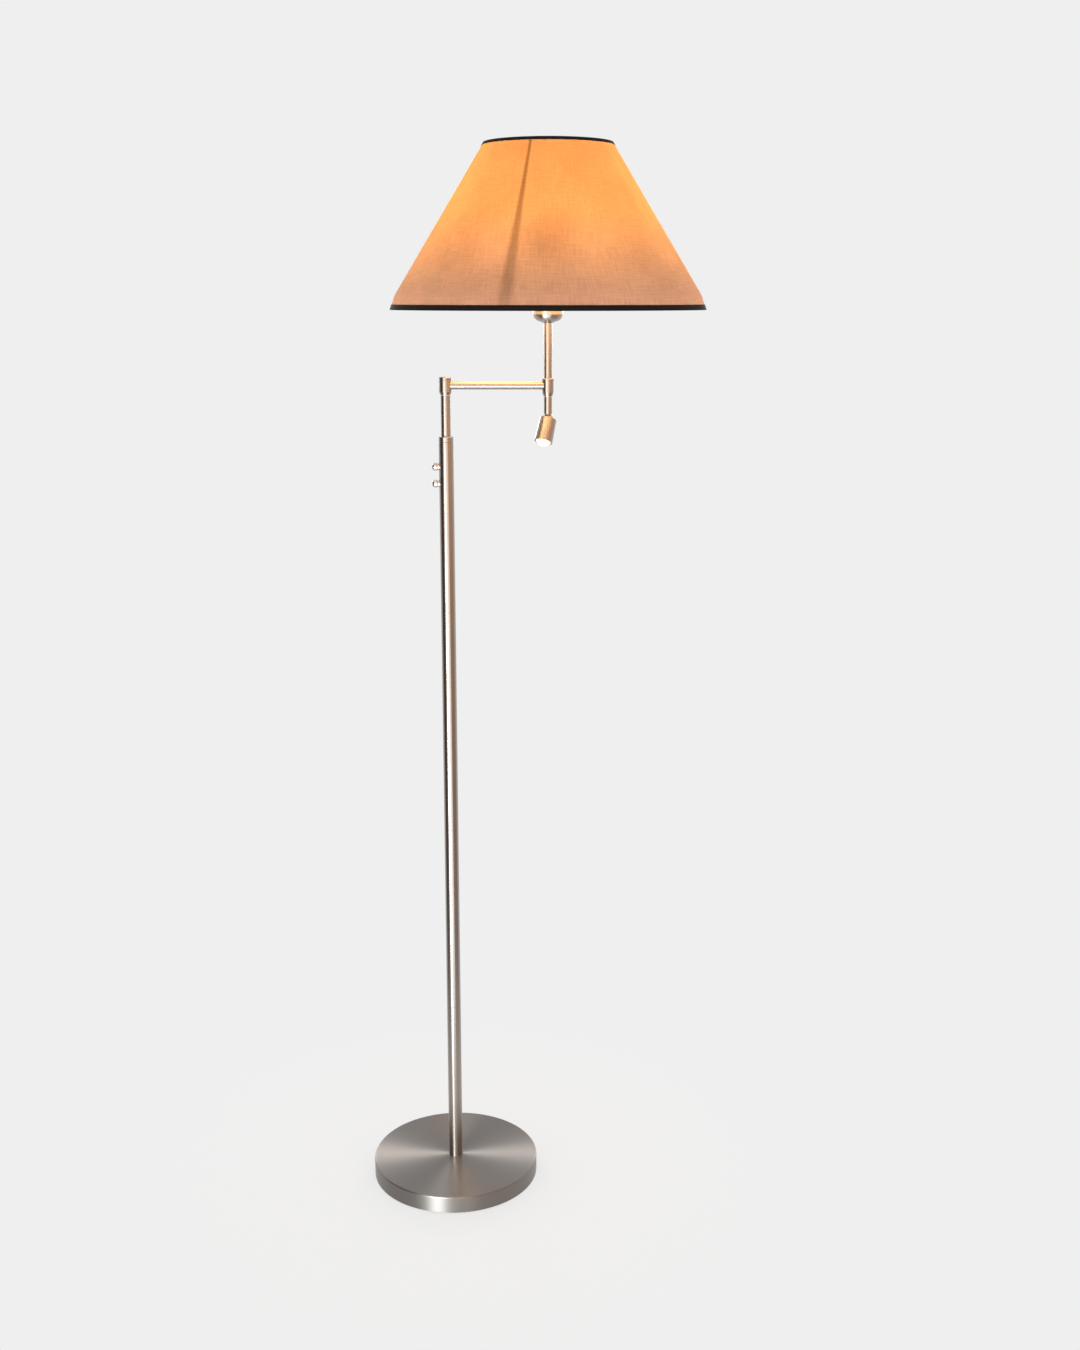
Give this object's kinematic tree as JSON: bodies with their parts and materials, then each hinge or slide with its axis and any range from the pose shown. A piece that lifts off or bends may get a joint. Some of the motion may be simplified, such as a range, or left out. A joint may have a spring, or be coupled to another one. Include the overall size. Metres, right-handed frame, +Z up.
{
  "type": "bridge floor lamp",
  "caption": "Floor lamp with a round weighted base, slim pole, swinging bridge arm, tapered fabric shade and a small tilting reading light below it.",
  "frame": {"origin": "on the floor under the pole's axis, at the centre of the base", "axes": "+Z up along the pole, +X from the pole towards the rod that carries the shade, -Y towards the viewer in the picture"},
  "size_m": [0.5105, 0.456, 1.61],
  "materials": {
    "turned_satin_steel": "satin, turned in fine circles",
    "cast_weight": "raw casting, painted dark",
    "foam_pad": "foam rubber sheet",
    "zinc_fastener": "zinc plated",
    "black_rubber": "matt",
    "turned_steel_fitting": "machined",
    "satin_nickel_tube": "satin nickel",
    "satin_nickel_fitting": "satin nickel",
    "satin_nickel_spot": "satin nickel",
    "threaded_steel": "zinc plated",
    "friction_washer": "natural nylon",
    "dimmer_case": "moulded",
    "chromed_dial": "polished",
    "dial_shaft": "turned",
    "lampholder_black": "moulded",
    "shade_nut_black": "moulded",
    "brass_contact": "pressed",
    "bulb_cap_metal": "rolled thread",
    "opal_glass": "opal white, lit",
    "white_wire": "white powder coat",
    "shade_liner": "translucent backing film",
    "shade_cloth": "woven cotton, laminated",
    "black_tape": "woven binding tape",
    "seat_plastic": "acetal",
    "heat_sink_metal": "turned",
    "lamp_board": "white solder mask",
    "reflector_metal": "bright",
    "lens_glass": "frosted inside, lit"
  },
  "bodies": {
    "stand": {"base_cover": "turned_satin_steel", "base_weight": "cast_weight", "base_pad": "foam_pad", "pole_stud": "zinc_fastener", "stud_washer": "zinc_fastener", "stud_nut": "zinc_fastener", "cord_gland": "black_rubber", "pole_foot_plug": "turned_steel_fitting", "lower_tube": "satin_nickel_tube", "tube_joiner": "turned_steel_fitting", "upper_tube": "satin_nickel_tube", "pole_collar": "satin_nickel_fitting", "collar_screw": "zinc_fastener", "mast_tube": "satin_nickel_tube", "mast_top_plug": "turned_steel_fitting", "elbow_spindle": "threaded_steel", "elbow_cap": "satin_nickel_fitting", "elbow_washers": "friction_washer", "dimmer_body_upper": "dimmer_case", "dimmer_body_lower": "dimmer_case", "dimmer_nut_upper": "chromed_dial", "dimmer_nut_lower": "chromed_dial"},
    "arm": {"elbow_hub": "satin_nickel_fitting", "arm_tube": "satin_nickel_tube", "rod_hub": "satin_nickel_fitting", "arm_screws": "zinc_fastener"},
    "head": {"upper_rod": "satin_nickel_tube", "lower_rod": "satin_nickel_tube", "rod_spindle": "threaded_steel", "rod_washers": "friction_washer", "socket_cup": "satin_nickel_fitting", "holder_nipple": "threaded_steel", "lampholder_cap": "lampholder_black", "lampholder_body": "lampholder_black", "lamp_screw_shell": "brass_contact", "centre_contact": "brass_contact", "shade_nut_lower": "shade_nut_black", "shade_nut_upper": "shade_nut_black", "bulb_cap": "bulb_cap_metal", "bulb_glass": "opal_glass", "shade_carrier": "white_wire", "top_wire_ring": "white_wire", "bottom_wire_ring": "white_wire", "shade_liner": "shade_liner", "shade_fabric": "shade_cloth", "top_trim": "black_tape", "bottom_trim": "black_tape"},
    "spot_swivel": {"spot_ball": "satin_nickel_fitting"},
    "spot": {"spot_housing": "satin_nickel_spot", "spot_seat": "seat_plastic", "heat_sink": "heat_sink_metal", "led_board": "lamp_board", "spot_reflector": "reflector_metal", "spot_lens": "lens_glass", "spot_lens_ring": "satin_nickel_spot", "spot_set_screw": "zinc_fastener"},
    "dial_upper": {"dial_knob_upper": "chromed_dial", "dial_shaft_upper": "dial_shaft"},
    "dial_lower": {"dial_knob_lower": "chromed_dial", "dial_shaft_lower": "dial_shaft"}
  },
  "joints": [
    {"name": "arm_swing", "type": "hinge", "parent": "stand", "child": "arm", "pos_m": [0, 0, 1.2725], "axis": [0, 0, 1], "range_deg": [-170, 170]},
    {"name": "head_turn", "type": "hinge", "parent": "arm", "child": "head", "pos_m": [0.15, 0, 1.2725], "axis": [0, 0, 1], "range_deg": [-170, 170]},
    {"name": "spot_turn", "type": "hinge", "parent": "head", "child": "spot_swivel", "pos_m": [0.15, 0, 1.2214], "axis": [0, 0, 1], "range_deg": [-170, 170]},
    {"name": "spot_tilt", "type": "hinge", "parent": "spot_swivel", "child": "spot", "pos_m": [0.15, 0, 1.2214], "axis": [-0.8829, 0.4695, 0], "range_deg": [-61, 9]},
    {"name": "dial_upper_turn", "type": "hinge", "parent": "stand", "child": "dial_upper", "pos_m": [-0.015, 0, 1.154], "axis": [-1, 0, 0], "range_deg": [-270, 0]},
    {"name": "dial_lower_turn", "type": "hinge", "parent": "stand", "child": "dial_lower", "pos_m": [-0.015, 0, 1.129], "axis": [-1, 0, 0], "range_deg": [-270, 0]}
  ]
}
